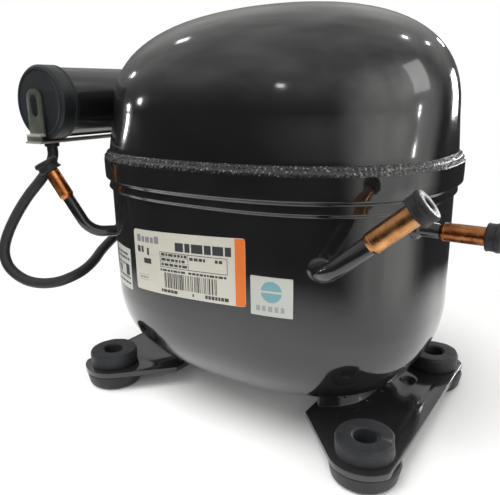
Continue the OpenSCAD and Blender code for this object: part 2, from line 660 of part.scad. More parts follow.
module suction_muffler() color([0.85, 0.83, 0.75]) {
    difference() {
        union() {
            box([14, -44, 130], [50, -23, 170]);
            translate([49, -30, cyl_z]) rotate([0, 90, 0]) cylinder(h = 25, r = 5, $fn = 48);
            translate([69, -17.2, cyl_z]) rotate([90, 0, 0]) cylinder(h = 12.8, r = 5, $fn = 48);
            translate([32, -43, 140]) rotate([90, 0, 0]) cylinder(h = 6, r = 6, $fn = 48);
        }
        box([15.5, -42.5, 131.5], [48.5, -24.5, 168.5]);
        translate([32, -40, 140]) rotate([90, 0, 0]) cylinder(h = 12, r = 4.8, $fn = 48);
    }
}
module discharge_loop() color([0.7, 0.4, 0.2]) swept(loop_path, 2.4, [1, 0, 0]);

// ---- suspension ----
spring_z0 = 30;
spring_z1 = 47.8;
spring_r = 5;
spring_turns = 4.5;
spring_steps = 44;
module suspension_springs() color([0.6, 0.6, 0.6]) {
    wire = 0.9;
    rise = spring_z1 - spring_z0 - 2 * wire;
    helix = [for (k = [0 : spring_steps])
        [spring_r * cos(k * 360 * spring_turns / spring_steps),
         spring_r * sin(k * 360 * spring_turns / spring_steps), wire + rise * k / spring_steps]];
    at_mounts(spring_z0) swept(helix, wire, [0, 0, 1], 6);
}
module spring_studs() color([0.3, 0.3, 0.3]) {
    at_mounts(28.4) cylinder(h = 1.6, r = 5.9, $fn = 48);
    at_mounts(29) cylinder(h = 8, r = 3.8, $fn = 48);
}
module spring_caps() color([0.85, 0.85, 0.8]) {
    at_mounts(48)
        difference() {
            union() {
                cylinder(h = 6, r = 6.4, $fn = 48);
                translate([0, 0, -5]) cylinder(h = 6, r = 3.8, $fn = 48);
            }
            translate([0, 0, 2]) cylinder(h = 5, r = 2.55, $fn = 32);
        }
}
module cluster_block() color([0.8, 0.78, 0.7]) at_terminal() {
    difference() {
        box([-19.5, -9, -8], [-10.5, 9, 11]);
        for (s = pin_spots) x_cyl(-20, -10, 1.35, s[0], s[1], 24);
    }
}

lower_shell();
upper_shell();
weld_bead();
base_plate_left();
base_plate_right();
foot_front_left();
foot_front_right();
foot_back_left();
foot_back_right();
suction_tube();
suction_connector();
suction_plug();
discharge_tube();
discharge_connector();
discharge_plug();
process_tube();
process_connector();
process_plug();
rating_label();
square_sticker();
side_label();
terminal_cup();
terminal_glass();
terminal_pins();
terminal_fence();
terminal_cover();
cover_bail();
ground_screw();
relay_case();
relay_coil();
relay_plunger();
overload_protector();
capacitor_can();
capacitor_boot();
capacitor_bracket();
bracket_screw();
capacitor_lead();
crankcase();
crankshaft();
rotor();
stator_core();
stator_windings();
stator_bolts();
connecting_rod();
piston();
wrist_pin();
valve_plate();
gaskets();
cylinder_head();
head_bolts();
suction_muffler();
discharge_loop();
oil_pickup();
thrust_washer();
suspension_springs();
spring_studs();
spring_caps();
cluster_block();
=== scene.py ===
"""Hermetic reciprocating compressor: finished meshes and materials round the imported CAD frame."""
import math
import random

import bmesh
import bpy
from mathutils import Matrix, Vector

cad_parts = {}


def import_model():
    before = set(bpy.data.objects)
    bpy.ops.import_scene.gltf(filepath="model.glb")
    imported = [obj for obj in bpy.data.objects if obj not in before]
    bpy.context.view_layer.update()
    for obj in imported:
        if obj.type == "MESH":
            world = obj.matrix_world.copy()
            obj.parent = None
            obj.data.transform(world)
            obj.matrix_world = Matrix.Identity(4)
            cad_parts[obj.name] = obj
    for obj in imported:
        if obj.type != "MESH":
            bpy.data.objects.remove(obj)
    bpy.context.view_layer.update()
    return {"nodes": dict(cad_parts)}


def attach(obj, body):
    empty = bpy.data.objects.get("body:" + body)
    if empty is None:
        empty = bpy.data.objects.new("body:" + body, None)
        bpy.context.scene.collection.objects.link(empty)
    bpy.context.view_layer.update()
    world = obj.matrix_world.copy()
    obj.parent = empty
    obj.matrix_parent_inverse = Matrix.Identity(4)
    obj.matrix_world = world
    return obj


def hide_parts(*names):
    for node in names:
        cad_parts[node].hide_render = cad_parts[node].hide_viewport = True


MM = 0.001
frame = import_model()

# ---- dimensions shared with the CAD source, in millimetres ----
SHELL_A, SHELL_B, SHELL_Y, SHELL_T = 99.0, 76.0, 5.0, 3.0       # half axes, offset to the back, thickness
SEAM_Z, TOP_Z, CROWN_SLOPE = 137.0, 212.0, 4.0
NECK_IN, CORNER_R, CORNER_Z, BOTTOM_Z = 4.5, 38.0, 62.0, 18.0   # the bowl's wall and its round lower corner
DOME_IN, DOME_Z, DOME_POWER = 3.1, 160.0, 2.57
PLAN_POWER = [(121.5, 2.6), (124.0, 2.45), (141.5, 2.45), (160.0, 2.15), (198.0, 2.0)]  # (height, exponent)
HOLE_DX, HOLE_DY, PLATE_Z, PLATE_T, FOOT_H = 165.1, 101.6, 12.0, 3.0, 20.5
CAP_X, CAP_Z, CAP_Y0, CAP_R, CAP_LEN = -121.0, 166.6, -57.0, 20.0, 102.0
BOOT_R, BOOT_LEN, SPOUT_Y, SPOUT_Z = 21.25, 12.0, -51.0, 141.5
LEAD_D = 6.2
SUCTION = [(57.8, -51.6, 97.1), (66.8, -67, 97.1), (101.7, -60.8, 126.9)]
DISCHARGE = [(80, -23, 112), (99, -23, 112), (120, -23, 112)]
PROCESS = [(-77.5, -28.9, 91.6), (-92, -52.5, 93.4), (-106.6, -64.1, 129.6)]
LEAD = [(-121, -51, 141.5), (-121, -51.3, 136), (-122, -54, 129.5), (-125, -59, 122),
        (-129.5, -65, 113.5), (-133, -71.5, 103.5), (-135.5, -77.5, 92.5), (-135.5, -81.5, 83),
        (-133, -82.5, 75.5), (-128.5, -81.5, 70), (-122, -78.5, 65.5), (-115, -74, 63.5),
        (-108.5, -67.5, 63.5), (-105, -59.5, 65), (-104.5, -50, 67), (-107, -39.5, 70),
        (-111.5, -29, 73.5), (-116.8, -15, 77), (-120.6, -2.5, 79.4), (-122.1, 7.5, 80),
        (-120.9, 14.9, 80), (-117.4, 22.1, 80)]

# ---- camera ----
CAM_AT = Vector((165.0, -260.1, 171.1)) * MM
CAM_YAW, CAM_PITCH, CAM_ROLL = math.radians(34.61), math.radians(15.69), math.radians(0.93)
CAM_LENS, SENSOR = 39.96, 36.0


def make_camera():
    """The camera solved from the feet, the seam and the outline."""
    look = Vector((-math.sin(CAM_YAW) * math.cos(CAM_PITCH), math.cos(CAM_YAW) * math.cos(CAM_PITCH),
                   -math.sin(CAM_PITCH)))
    right = look.cross(Vector((0, 0, 1))).normalized()
    down = look.cross(right).normalized()
    right, down = (right * math.cos(CAM_ROLL) + down * math.sin(CAM_ROLL),
                   down * math.cos(CAM_ROLL) - right * math.sin(CAM_ROLL))
    turn = Matrix((right, -down, -look)).transposed().to_4x4()
    data = bpy.data.cameras.new("camera")
    data.lens, data.sensor_width = CAM_LENS, SENSOR
    cam = bpy.data.objects.new("camera", data)
    cam.matrix_world = Matrix.Translation(CAM_AT) @ turn
    bpy.context.scene.collection.objects.link(cam)
    bpy.context.scene.camera = cam


make_camera()


# ---- node materials ----
def set_range(node, source, target):
    """Set what a Map Range node maps from and to."""
    for key, (low, high) in (("From", source), ("To", target)):
        node.inputs[key + " Min"].default_value = low
        node.inputs[key + " Max"].default_value = high


class Mat:
    """A Principled material with a few node shortcuts."""

    def __init__(self, name, **sockets):
        self.mat = bpy.data.materials.new(name)
        self.mat.use_nodes = True
        self.tree = self.mat.node_tree
        self.bsdf = self.tree.nodes["Principled BSDF"]
        self.coord = self.tree.nodes.new("ShaderNodeTexCoord").outputs["Object"]
        for key, value in sockets.items():
            self.bsdf.inputs[key.replace("_", " ")].default_value = value

    def link(self, a, b):
        self.tree.links.new(a, b)

    def noise(self, scale, detail=4.0, rough=0.55, stretch=None):
        n = self.tree.nodes.new("ShaderNodeTexNoise")
        n.inputs["Scale"].default_value = scale
        n.inputs["Detail"].default_value = detail
        n.inputs["Roughness"].default_value = rough
        src = self.coord
        if stretch:
            m = self.tree.nodes.new("ShaderNodeMapping")
            m.inputs["Scale"].default_value = stretch
            self.link(src, m.inputs["Vector"])
            src = m.outputs["Vector"]
        self.link(src, n.inputs["Vector"])
        return n.outputs["Fac"]

    def ramp(self, fac, stops):
        r = self.tree.nodes.new("ShaderNodeValToRGB")
        el = r.color_ramp.elements
        while len(el) < len(stops):
            el.new(0.5)
        for e, (p, c) in zip(el, stops):
            e.position = p
            e.color = (c, c, c, 1) if isinstance(c, (int, float)) else (*c, 1)
        self.link(fac, r.inputs["Fac"])
        return r.outputs["Color"]

    def colour(self, fac, *stops):
        self.link(self.ramp(fac, stops), self.bsdf.inputs["Base Color"])

    def rough(self, fac, *stops):
        self.link(self.ramp(fac, stops), self.bsdf.inputs["Roughness"])

    def metal(self, fac, *stops):
        self.link(self.ramp(fac, stops), self.bsdf.inputs["Metallic"])

    def bump(self, height, strength, distance):
        b = self.tree.nodes.new("ShaderNodeBump")
        b.inputs["Strength"].default_value = strength
        b.inputs["Distance"].default_value = distance
        self.link(height, b.inputs["Height"])
        last = self.bsdf.inputs["Normal"].links
        if last:
            self.link(last[0].from_socket, b.inputs["Normal"])
        self.link(b.outputs["Normal"], self.bsdf.inputs["Normal"])


def shade(base, factor):
    """A colour made darker or lighter, within white."""
    return tuple(min(1, c * factor) for c in base)


def gloss_black(name, tone=0.008, rough=0.09, peel=0.05):
    m = Mat(name, Metallic=0.0, IOR=1.5, Coat_Weight=0.6, Coat_Roughness=0.05)
    light = (tone * 1.7, tone * 1.7, tone * 1.8)
    m.colour(m.noise(35, 5), (0.3, (tone, tone, tone * 1.05)), (0.7, light))
    m.rough(m.noise(60, 6, 0.65), (0.35, rough), (0.75, rough * 1.9))
    m.bump(m.noise(260, 2, 0.4), peel, 0.0004)
    m.bump(m.noise(28, 2, 0.5), peel * 1.2, 0.002)
    return m.mat


def weld_metal():
    m = Mat("weld_black", IOR=1.5, Coat_Weight=0.5, Coat_Roughness=0.1)
    m.colour(m.noise(900, 4), (0.35, 0.006), (0.60, (0.02, 0.02, 0.022)), (0.68, (0.42, 0.41, 0.38)))
    m.metal(m.noise(900, 4), (0.60, 0.0), (0.70, 0.8))
    m.rough(m.noise(700, 5), (0.3, 0.12), (0.7, 0.4))
    m.bump(m.noise(1200, 3), 0.5, 0.0006)
    return m.mat


def copper(name, base, dark):
    m = Mat(name, Metallic=1.0)
    m.colour(m.noise(160, 7, 0.7), (0.3, dark), (0.62, base), (0.85, shade(base, 1.25)))
    m.rough(m.noise(220, 6, 0.7), (0.3, 0.2), (0.75, 0.42))
    m.bump(m.noise(700, 4, 0.6, stretch=(1, 1, 0.2)), 0.12, 0.0003)
    return m.mat


def rubber(name, tone, tint=(1, 1, 1), rough=0.62):
    m = Mat(name, IOR=1.48, Sheen_Weight=0.12, Sheen_Roughness=0.4)
    lo = tuple(tone * t for t in tint)
    hi = tuple(min(1, 1.8 * tone * t) for t in tint)
    m.colour(m.noise(70, 6, 0.65), (0.3, lo), (0.75, hi))
    m.rough(m.noise(120, 6, 0.6), (0.3, rough * 0.85), (0.75, min(1, rough * 1.2)))
    m.bump(m.noise(900, 4, 0.6), 0.18, 0.0004)
    return m.mat


def plastic(name, base, rough=0.35, coat=0.0):
    var = 0.12
    m = Mat(name, IOR=1.5, Coat_Weight=coat, Coat_Roughness=0.08)
    m.colour(m.noise(50, 5), (0.3, shade(base, 1 - var)), (0.75, shade(base, 1 + var)))
    m.rough(m.noise(90, 5), (0.3, rough * 0.85), (0.75, min(1, rough * 1.25)))
    m.bump(m.noise(1400, 3), 0.08, 0.0003)
    return m.mat


def metal(name, base, rough=0.3, scale=180, stretch=None, grain=900, strength=0.12, metallic=1.0):
    m = Mat(name, Metallic=metallic)
    m.colour(m.noise(scale, 6, 0.65, stretch=stretch), (0.3, shade(base, 0.8)), (0.75, shade(base, 1.2)))
    m.rough(m.noise(scale * 1.4, 6, 0.65, stretch=stretch), (0.3, rough * 0.75), (0.75, min(1, rough * 1.35)))
    m.bump(m.noise(grain, 4, 0.6, stretch=stretch), strength, 0.0003)
    return m.mat


def zinc_painted_highlights():
    """Dull greenish zinc; painted highlights make the folded foot of the tab and the strap under the can
    brighter.

    The painted highlights and the zinc's tone go with the height over the ground, from 140 to 180 mm.
    """
    m = Mat("zinc_painted_highlights", Metallic=0.5)
    split = m.tree.nodes.new("ShaderNodeSeparateXYZ")
    m.link(m.coord, split.inputs["Vector"])
    up = m.tree.nodes.new("ShaderNodeMapRange")
    set_range(up, (0.140, 0.180), (0.0, 1.0))
    m.link(split.outputs["Z"], up.inputs["Value"])
    # painted highlights: bright bands at the tab's folded foot and at the strap under the can, dull zinc
    # between, darker towards the top
    m.colour(up.outputs["Result"],
             (0.0, (0.60, 0.58, 0.48)), (0.11, (0.55, 0.54, 0.45)),
             (0.14, (0.10, 0.11, 0.09)), (0.19, (0.11, 0.12, 0.10)),
             (0.215, (0.55, 0.54, 0.46)), (0.25, (0.11, 0.125, 0.095)),
             (1.0, (0.075, 0.088, 0.072)))
    m.rough(m.noise(160, 6, 0.65), (0.3, 0.34), (0.75, 0.5))
    m.bump(m.noise(800, 4), 0.08, 0.0003)
    return m.mat


def foil():
    """Speckled crimp-foil ring on the plugs' faces."""
    m = Mat("speckled_foil")
    m.colour(m.noise(1500, 3, 0.7), (0.36, 0.02), (0.46, (0.13, 0.13, 0.13)), (0.60, (0.40, 0.40, 0.38)))
    m.metal(m.noise(1500, 3, 0.7), (0.5, 0.0), (0.58, 0.85))
    m.rough(m.noise(900, 4), (0.3, 0.3), (0.7, 0.6))
    m.bump(m.noise(1500, 3), 0.4, 0.0003)
    return m.mat


def paper(name, base, rough=0.42):
    m = Mat(name, IOR=1.46, Coat_Weight=0.25, Coat_Roughness=0.2)
    m.colour(m.noise(45, 6, 0.6), (0.28, shade(base, 0.9)), (0.6, base))
    m.rough(m.noise(110, 5), (0.3, rough * 0.8), (0.7, rough * 1.2))
    m.bump(m.noise(300, 5), 0.05, 0.0004)
    return m.mat


def laminated(name, base):
    """Steel whose fine bands across Z show the stacked sheets."""
    m = Mat(name, Metallic=0.9)
    w = m.tree.nodes.new("ShaderNodeTexWave")
    w.wave_type, w.bands_direction = "BANDS", "Z"
    w.inputs["Scale"].default_value = 1 / LAMINATION / 20
    w.inputs["Distortion"].default_value = 0.4
    m.link(m.coord, w.inputs["Vector"])
    m.colour(m.noise(90, 5), (0.3, shade(base, 0.8)), (0.7, base))
    m.rough(m.noise(130, 5), (0.3, 0.35), (0.7, 0.55))
    m.bump(w.outputs["Fac"], 0.6, 0.0003)
    return m.mat


LAMINATION = 0.0012     # pitch of the stack's bands, in metres
BLACK = gloss_black("shell_gloss_black")
PLATE_BLACK = gloss_black("plate_gloss_black", 0.012, 0.13, 0.06)
TUBE_BLACK = gloss_black("tube_gloss_black", 0.009, 0.12, 0.05)
WELD = weld_metal()
COPPER_SUCTION = copper("copper_suction", (0.66, 0.33, 0.13), (0.34, 0.15, 0.06))
COPPER_DISCHARGE = copper("copper_discharge", (0.50, 0.20, 0.075), (0.16, 0.05, 0.02))
COPPER_PROCESS = copper("copper_process", (0.78, 0.30, 0.10), (0.38, 0.12, 0.04))
FOOT_RUBBER = rubber("foot_rubber", 0.013, (0.92, 0.98, 1.12))
PLUG_RUBBER = rubber("plug_rubber", 0.009, (1, 1, 1.02), 0.55)
BOOT_RUBBER = rubber("boot_rubber", 0.007, (0.85, 1.05, 1.2), 0.45)
LEAD_RUBBER = rubber("lead_rubber", 0.013, (1, 1, 1), 0.45)
CAN = plastic("can_plastic", (0.012, 0.012, 0.014), 0.2, coat=0.4)
COVER = plastic("cover_plastic", (0.02, 0.02, 0.022), 0.42)
CREAM = plastic("cream_plastic", (0.78, 0.74, 0.62), 0.45)
BAKELITE = plastic("bakelite", (0.06, 0.035, 0.025), 0.35)
GASKET = plastic("gasket_green", (0.10, 0.20, 0.13), 0.7)
ZINC_PAINTED_HIGHLIGHTS = zinc_painted_highlights()
ZINC_BRIGHT = metal("zinc_bright", (0.66, 0.67, 0.66), 0.28)
WIRE = metal("bright_wire", (0.62, 0.62, 0.62), 0.22)
STEEL = metal("ground_steel", (0.56, 0.56, 0.58), 0.25, stretch=(1, 1, 12))
GREY_STEEL = metal("plain_steel", (0.42, 0.42, 0.43), 0.4)
CAST = metal("cast_iron", (0.20, 0.20, 0.21), 0.55, 260, grain=600, strength=0.5, metallic=0.85)
ALLOY = metal("cast_alloy", (0.66, 0.66, 0.68), 0.38, 200, grain=700, strength=0.3)
BEARING = metal("bearing_bronze", (0.62, 0.46, 0.2), 0.3)
STACK = laminated("lamination_stack", (0.36, 0.36, 0.38))
COIL = metal("enamelled_wire", (0.52, 0.2, 0.07), 0.3, 420, stretch=(1, 1, 6), grain=1500, strength=0.6,
             metallic=0.8)
GLASS_SEAL = plastic("glass_seal", (0.06, 0.2, 0.14), 0.08, coat=1.0)
FOIL = foil()
PAPER = paper("label_paper", (0.56, 0.54, 0.47))
STICKER = paper("sticker_paper", (0.50, 0.515, 0.47))
SIDE_PAPER = paper("side_label_paper", (0.55, 0.55, 0.51))
INK = paper("ink_black", (0.035, 0.035, 0.04), 0.5)
SOFT_INK = paper("ink_soft", (0.30, 0.32, 0.33), 0.5)
INK_GREY = paper("ink_grey", (0.22, 0.22, 0.24), 0.5)
ORANGE = paper("ink_orange", (0.72, 0.16, 0.02), 0.45)
BLUE = paper("ink_blue", (0.17, 0.34, 0.38), 0.45)


# ---- mesh helpers ----
def piece(name, verts, faces, mat, body, nodes=(), angle=38):
    """A mesh from vertices in millimetres that rides a body and stands in for the named nodes."""
    me = bpy.data.meshes.new(name)
    me.from_pydata([tuple(c * MM for c in v) for v in verts], [], faces)
    bm = bmesh.new()
    bm.from_mesh(me)
    bmesh.ops.recalc_face_normals(bm, faces=bm.faces)
    bm.to_mesh(me)
    bm.free()
    me.materials.append(mat)
    me.shade_smooth()
    me.set_sharp_from_angle(angle=math.radians(angle))
    ob = bpy.data.objects.new(name, me)
    bpy.context.scene.collection.objects.link(ob)
    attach(ob, body)
    if nodes:
        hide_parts(*nodes)
    return ob


def grid_faces(rows, cols, close_rows=False):
    """Quads over rows of cols vertices; each row closes on itself."""
    faces = []
    for j in range(rows if close_rows else rows - 1):
        for i in range(cols):
            a, b = j * cols + i, j * cols + (i + 1) % cols
            c, d = ((j + 1) % rows) * cols + i, ((j + 1) % rows) * cols + (i + 1) % cols
            faces.append((a, b, d, c))
    return faces


def end_caps(rows, cols):
    """The two polygons that close the first and the last row."""
    return [tuple(range(cols))[::-1], tuple((rows - 1) * cols + i for i in range(cols))]


def plan_power(z):
    """Exponent of the plan outline at a height: 2 is a true ellipse, more is fuller."""
    z = min(max(z, PLAN_POWER[0][0]), PLAN_POWER[-1][0])
    for (z0, n0), (z1, n1) in zip(PLAN_POWER, PLAN_POWER[1:]):
        if z <= z1:
            break
    return n0 + (n1 - n0) * (z - z0) / (z1 - z0)


def outline(a, b, z, t):
    """X and Y of the plan outline with half axes a and b at height z and angle t."""
    n = plan_power(z)
    q = (abs(math.cos(t)) ** n + abs(math.sin(t)) ** n) ** (-1 / n)
    return a * math.cos(t) * q, SHELL_Y + b * math.sin(t) * q


def oval(inset, z, t):
    """The point on the shell's outline, drawn in by the inset."""
    return (*outline(SHELL_A - inset, SHELL_B - inset, z, t), z)


def oval_loft(rings, n):
    """A closed solid of rings round the shell; a ring is (inset, z) or a function of the angle."""
    verts = []
    for r in rings:
        for i in range(n):
            t = 2 * math.pi * i / n
            verts.append(r(t) if callable(r) else oval(r[0], r[1], t))
    return verts, grid_faces(len(rings), n) + end_caps(len(rings), n)


def rounded(points, r, steps=5):
    """A profile with rounded corners: points are (u, v), rounded by r, or (u, v, radius)."""
    out = []
    for i, p in enumerate(points):
        rad = p[2] if len(p) > 2 else r
        here = Vector(p[:2])
        if i in (0, len(points) - 1) or rad <= 0:
            out.append(tuple(here))
            continue
        a, b = Vector(points[i - 1][:2]) - here, Vector(points[i + 1][:2]) - here
        half = a.angle(b) / 2
        cut = min(rad / math.tan(half), a.length * 0.49, b.length * 0.49)
        p0, p1 = here + a.normalized() * cut, here + b.normalized() * cut
        for k in range(steps + 1):
            s = k / steps
            out.append(tuple(p0 * (1 - s) ** 2 + here * 2 * s * (1 - s) + p1 * s * s))
    return out


def lathe(profile, n, at=(0, 0, 0), axis=(0, 0, 1)):
    """Vertices and faces of a ring-shaped solid of revolution; the closed profile is (r, h)."""
    at, axis = Vector(at), Vector(axis).normalized()
    u = axis.orthogonal().normalized()
    v = axis.cross(u)
    verts = []
    for r, h in profile:
        for i in range(n):
            t = 2 * math.pi * i / n
            verts.append(tuple(at + axis * h + (u * math.cos(t) + v * math.sin(t)) * r))
    return verts, grid_faces(len(profile), n, True)


def fillet_path(points, bend, steps=14):
    """A line with its inner corners turned into round bends."""
    pts = [Vector(p) for p in points]
    out = [pts[0]]
    for a, p, b in zip(pts, pts[1:], pts[2:]):
        d0, d1 = (p - a).normalized(), (b - p).normalized()
        turn = d0.angle(d1)
        if turn < 0.02:
            continue
        side = (d1 - d0 * d1.dot(d0)).normalized()
        t0 = p - d0 * bend * math.tan(turn / 2)
        centre = t0 + side * bend
        for k in range(steps + 1):
            s = turn * k / steps
            out.append(centre - side * bend * math.cos(s) + d0 * bend * math.sin(s))
    out.append(pts[-1])
    return out


def sweep(path, radius, n, start=None):
    """Rings along a path; the first vertex keeps to one side, which start may choose."""
    rings = []
    up = None
    turns = [2 * math.pi * k / n for k in range(n)]
    for i, p in enumerate(path):
        t = (path[min(i + 1, len(path) - 1)] - path[max(i - 1, 0)]).normalized()
        up = (start or t.orthogonal()) if up is None else up
        up = (up - t * up.dot(t)).normalized()
        v = t.cross(up)
        rings.append([tuple(p + (up * math.cos(a) + v * math.sin(a)) * radius) for a in turns])
    return rings


def tube(path, outer, inner, n=40):
    """A hollow tube with its far lip softened."""
    d0, d1 = (path[1] - path[0]).normalized(), (path[-1] - path[-2]).normalized()
    soft = 0.35

    def lip(p, d, r):
        return sweep([p, p + d], r, n)[0]

    rings = sweep(path, outer, n)[:-1]
    rings += [lip(path[-1] - d1 * soft, d1, outer), lip(path[-1], d1, outer - soft), lip(path[-1], d1, inner)]
    rings += sweep(path, inner, n)[-2:0:-1] + [lip(path[0], d0, inner)]
    rings = align(rings)
    verts = [v for r in rings for v in r]
    return verts, grid_faces(len(rings), n, True)


def align(rings):
    """Turn each ring's start so that it lies nearest to the ring before."""
    out = [rings[0]]
    for ring in rings[1:]:
        first = Vector(out[-1][0])
        k = min(range(len(ring)), key=lambda i: (Vector(ring[i]) - first).length)
        turned = ring[k:] + ring[:k]
        n = len(ring) // 4
        quarter = Vector(out[-1][n])
        if (Vector(turned[n]) - quarter).length > (Vector(turned[-n]) - quarter).length:
            turned = [turned[0]] + turned[:0:-1]
        out.append(turned)
    return out


def softened(node, body, mat, width, segments, angle=35, name=None):
    """A piece with the CAD node's shape, its edges sharper than the angle rounded by the width in mm."""
    src = frame["nodes"][node]
    src = bpy.data.objects[src] if isinstance(src, str) else src
    me = src.data.copy()
    me.materials.clear()
    bm = bmesh.new()
    bm.from_mesh(me)
    bmesh.ops.remove_doubles(bm, verts=bm.verts, dist=1e-6)
    bmesh.ops.dissolve_limit(bm, angle_limit=math.radians(0.6), verts=bm.verts, edges=bm.edges)
    bm.to_mesh(me)
    bm.free()
    ob = bpy.data.objects.new(name or node + "_body", me)
    bpy.context.scene.collection.objects.link(ob)
    mod = ob.modifiers.new("round", "BEVEL")
    mod.width, mod.segments, mod.limit_method = width * MM, segments, "ANGLE"
    mod.angle_limit = math.radians(angle)
    mod.harden_normals = False
    done = bpy.data.meshes.new_from_object(ob.evaluated_get(bpy.context.evaluated_depsgraph_get()))
    ob.modifiers.clear()
    ob.data = done
    done.materials.clear()
    done.materials.append(mat)
    done.shade_smooth()
    done.set_sharp_from_angle(angle=math.radians(50))
    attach(ob, body)
    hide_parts(node)
    return ob


# ---- shell ----
SEG = 240                       # facets round each half
WALL_FOOT = 92                  # height of the lowest ring of the straight wall
RIPPLES = 250                   # ripples of the weld round the seam
WAVES = (23, 57, 91, 141)       # slow waves that make them uneven


def bowl_ring(t, psi):
    """Inset and height on the bowl's round corner, t inside its outer face: psi is 0 below, 90 above."""
    return (NECK_IN + t + (CORNER_R - t) * (1 - math.sin(psi)),
            BOTTOM_Z + t + (CORNER_Z - BOTTOM_Z - t) * (1 - math.cos(psi)))


def dome_ring(inset, top, th):
    """The lid's ring at the climb th, from 0 at the wall to 90 at the crown, as a function of the angle."""
    s, k = math.cos(th) ** (2 / DOME_POWER), math.sin(th) ** (2 / DOME_POWER)
    a, b = (SHELL_A - inset) * s, (SHELL_B - inset) * s
    z = DOME_Z + (top - DOME_Z) * k
    return lambda t: (*outline(a, b, z, t), z + CROWN_SLOPE * k * math.cos(t) * a / SHELL_A)


def lower_shell():
    """The bowl: round corner, upright wall and a rim that flares out in two steps."""
    quarter = [math.radians(3 * k) for k in range(31)]
    wall = rounded([(NECK_IN, WALL_FOOT), (NECK_IN, 119.8, 1.2), (2.9, 121.0, 1.0), (2.5, 125.2, 1.4),
                    (0.15, 126.6, 1.2), (0.0, 131, 3), (0.0, SEAM_Z)], 1)
    rings = [bowl_ring(0, q) for q in quarter] + wall
    rings += [(0.5, SEAM_Z), (SHELL_T, SEAM_Z), (SHELL_T, 127), (NECK_IN + SHELL_T, 123),
              (NECK_IN + SHELL_T, WALL_FOOT)]
    rings += [bowl_ring(SHELL_T, q) for q in quarter[::-1]]
    verts, faces = oval_loft(rings, SEG)
    piece("lower_shell_body", verts, faces, BLACK, "shell", ["lower_shell"], 40)


def upper_shell():
    """The lid: a short skirt inside the bowl's rim, a straight wall and the domed crown."""
    climb = [89.5, 88, 86, 83, 80, *range(76, 8, -4), 9, 6, 4, 2, 1, 0.3]
    steps = [math.radians(a) for a in climb]
    inner = [dome_ring(DOME_IN + SHELL_T, TOP_Z - SHELL_T, th) for th in steps]
    outer = [dome_ring(DOME_IN, TOP_Z, th) for th in steps[::-1]]
    up = [127, 135, 141.5, 144, 147, 150, 153, 156]
    rings = inner + [(DOME_IN + SHELL_T, z) for z in up[::-1]] + [(DOME_IN, z) for z in up] + outer
    verts, faces = oval_loft(rings, SEG)
    piece("upper_shell_body", verts, faces, BLACK, "shell", ["upper_shell"], 40)


def weld_bead():
    """Two rows of frozen ripples along the seam."""
    n, rows = 1200, 15
    rng = random.Random(3)
    speckle = [0.0] + [rng.random() for _ in range(n)]
    phases = [rng.random() * 6.28 for _ in WAVES]
    verts = []
    for j in range(rows):
        s = j / (rows - 1)
        row_a = math.exp(-((s - 0.27) / 0.17) ** 2)
        row_b = math.exp(-((s - 0.74) / 0.17) ** 2)
        inset = 0.35 + 2.75 * s ** 1.15
        z = SEAM_Z - 0.4 + 4.7 * s ** 0.85
        for i in range(n):
            t = 2 * math.pi * i / n
            wave = sum(math.sin(t * f + phase) for f, phase in zip(WAVES, phases)) / 4
            pitch = t * RIPPLES + 1.4 * wave
            chevron = math.sin(pitch + 3.0 * (s - 0.5) ** 2 * 4)
            second = math.sin(pitch * 0.93 + 2 + 2.2 * s)
            lift = 0.55 * (row_a * (1 + 0.5 * chevron) + row_b * (1 + 0.55 * second))
            lift += 0.16 * (speckle[(i * 7 + j * 131) % n] - 0.5)
            lift += 0.12 * wave * (row_a - row_b)
            if j in (0, rows - 1):
                lift = 0.0
            verts.append(oval(inset - lift * 0.75, z + lift * 0.62, t))
    for z in (SEAM_Z + 4.2, SEAM_Z - 0.4):
        verts += [oval(DOME_IN - 0.05, z, 2 * math.pi * i / n) for i in range(n)]
    faces = grid_faces(rows + 2, n, True)
    piece("weld_bead_body", verts, faces, WELD, "shell", ["weld_bead"], 60)


lower_shell()
upper_shell()
weld_bead()


# ---- base plates ----
RIB_IN, RIB_TOP = 33.0, 19.3        # where the upturned edge meets the bowl
# (angle round the shell, radius)
WELD_DROPS = ((-38, 1.1), (-34.5, 1.5), (-31, 1.2), (-27, 1.6), (-24, 1.0), (-12, 1.2), (9, 1.3), (28, 1.5),
              (33, 1.2), (37, 1.4))


def base_plate(node, side):
    """The CAD sheet with softened edges, and drops of the weld that ties its upturned edge to the bowl."""
    softened(node, "shell", PLATE_BLACK, 0.55, 3, 40, node + "_sheet")
    rng = random.Random(5)
    verts, faces = [], []
    for t, r in WELD_DROPS:
        x, y, z = oval(RIB_IN - 0.2, RIB_TOP - 1.0, math.radians(t))
        blob(verts, faces, (side * x, y, z), r, rng)
    piece(node + "_welds", verts, faces, WELD, "shell", [], 80)


def blob(verts, faces, at, r, rng, n=10, rows=7):
    """A lumpy weld drop."""
    base = len(verts)
    squash = (1.35, 1.35, 0.8)
    for j in range(rows):
        lat = math.pi * (j / (rows - 1) - 0.5)
        for i in range(n):
            t = 2 * math.pi * i / n
            k = r * (0.9 + 0.2 * rng.random()) if 0 < j < rows - 1 else r
            verts.append((at[0] + k * squash[0] * math.cos(lat) * math.cos(t),
                          at[1] + k * squash[1] * math.cos(lat) * math.sin(t),
                          at[2] + k * squash[2] * math.sin(lat)))
    faces += [tuple(base + i for i in f) for f in grid_faces(rows, n)]


base_plate("base_plate_right", 1)
base_plate("base_plate_left", -1)


# ---- feet ----
BORE_R, GROOVE_R = 5.75, 9.45       # radii of the bolt's hole and of the groove that takes the plate


